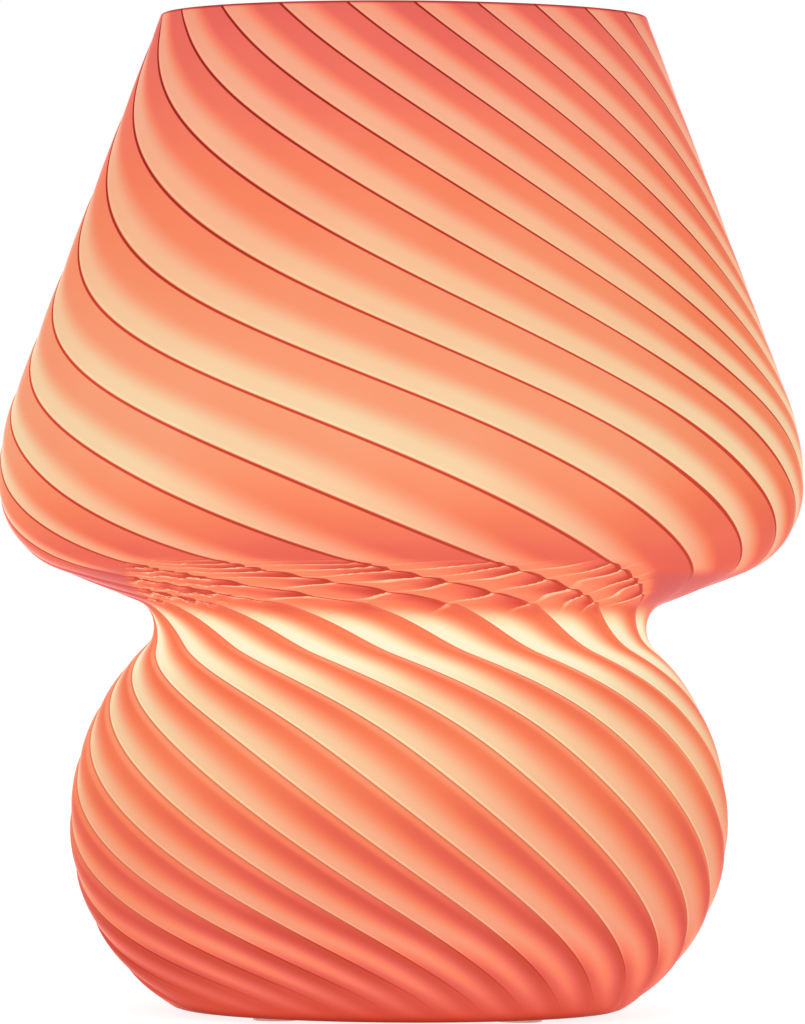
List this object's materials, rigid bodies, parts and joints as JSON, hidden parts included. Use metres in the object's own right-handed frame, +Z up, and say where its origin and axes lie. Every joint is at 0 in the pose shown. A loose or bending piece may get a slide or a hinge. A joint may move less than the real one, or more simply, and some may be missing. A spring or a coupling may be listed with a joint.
{
  "type": "table lamp",
  "caption": "Mushroom table lamp: blown swirled glass shade, neck and base in one piece, open at the top, with a screw lampholder and a globe bulb inside.",
  "frame": {"origin": "on the table, at the middle of the base", "axes": "+Z up along the glass body's axis, -Y the front, +Y the side with the cord hole"},
  "size_m": [0.18, 0.18, 0.223],
  "materials": {
    "coral_glass": "thick blown glass in coral and peach, smooth outside, open rim ground flat",
    "clear_silicone": "clear soft silicone",
    "grommet_rubber": "soft translucent white rubber",
    "gasket_rubber": "black rubber sheet",
    "zinc_steel": "bright zinc-plated steel",
    "white_paint": "warm white satin paint on steel",
    "white_plastic": "moulded white plastic, slightly glossy",
    "core_ceramic": "unglazed steatite",
    "contact_brass": "bare brass",
    "tinned_brass": "tinned brass",
    "black_cone": "black insulating glass",
    "nickel_cap": "nickel-plated brass, rolled thread",
    "bulb_white": "white thermoplastic",
    "sink_aluminium": "pressed aluminium sheet",
    "board_white": "white solder mask on aluminium board",
    "chip_phosphor": "yellow phosphor in a white frame",
    "board_green": "green solder mask",
    "capacitor_sleeve": "dark shrink sleeve",
    "coil_tape": "yellow polyester tape",
    "chip_black": "black moulded package",
    "lead_red": "red wire insulation",
    "opal_globe": "opal white diffuser, warm light"
  },
  "bodies": {
    "lamp": {"glass_body": "coral_glass", "foot_pads": "clear_silicone", "cord_grommet": "grommet_rubber", "lower_gasket": "gasket_rubber", "upper_gasket": "gasket_rubber", "clamp_screw": "zinc_steel", "clamp_washer": "zinc_steel", "base_plate": "zinc_steel", "clamp_nut": "zinc_steel", "cup_screws": "zinc_steel", "nipple": "zinc_steel", "nipple_nut": "zinc_steel", "holder_set_screw": "zinc_steel", "stand_cup": "white_paint", "holder_cap": "white_plastic", "holder_skirt": "white_plastic", "holder_insert": "core_ceramic", "holder_terminals": "contact_brass", "terminal_screws": "contact_brass", "centre_contact": "contact_brass", "screw_shell": "contact_brass"},
    "bulb_tip": {"bulb_tip_contact": "tinned_brass"},
    "bulb": {"bulb_cap_insulator": "black_cone", "bulb_screw_cap": "nickel_cap", "bulb_housing": "bulb_white", "heat_sink": "sink_aluminium", "led_board": "board_white", "led_chips": "chip_phosphor", "board_screws": "zinc_steel", "driver_board": "board_green", "driver_capacitor": "capacitor_sleeve", "driver_coil": "coil_tape", "driver_chip": "chip_black", "driver_leads": "lead_red", "bulb_diffuser": "opal_globe"}
  },
  "joints": [
    {"name": "bulb_rise", "type": "slide", "parent": "lamp", "child": "bulb_tip", "axis": [0, 0, 1], "range_m": [0, 0.01089]},
    {"name": "bulb_turn", "type": "hinge", "parent": "bulb_tip", "child": "bulb", "pos_m": [0, 0, 0.0725], "axis": [0, 0, 1], "range_deg": [0, 1080]}
  ],
  "couplings": [
    {"joint": "bulb_rise", "follows": "bulb_turn", "m_per_rad": 0.00057757}
  ]
}
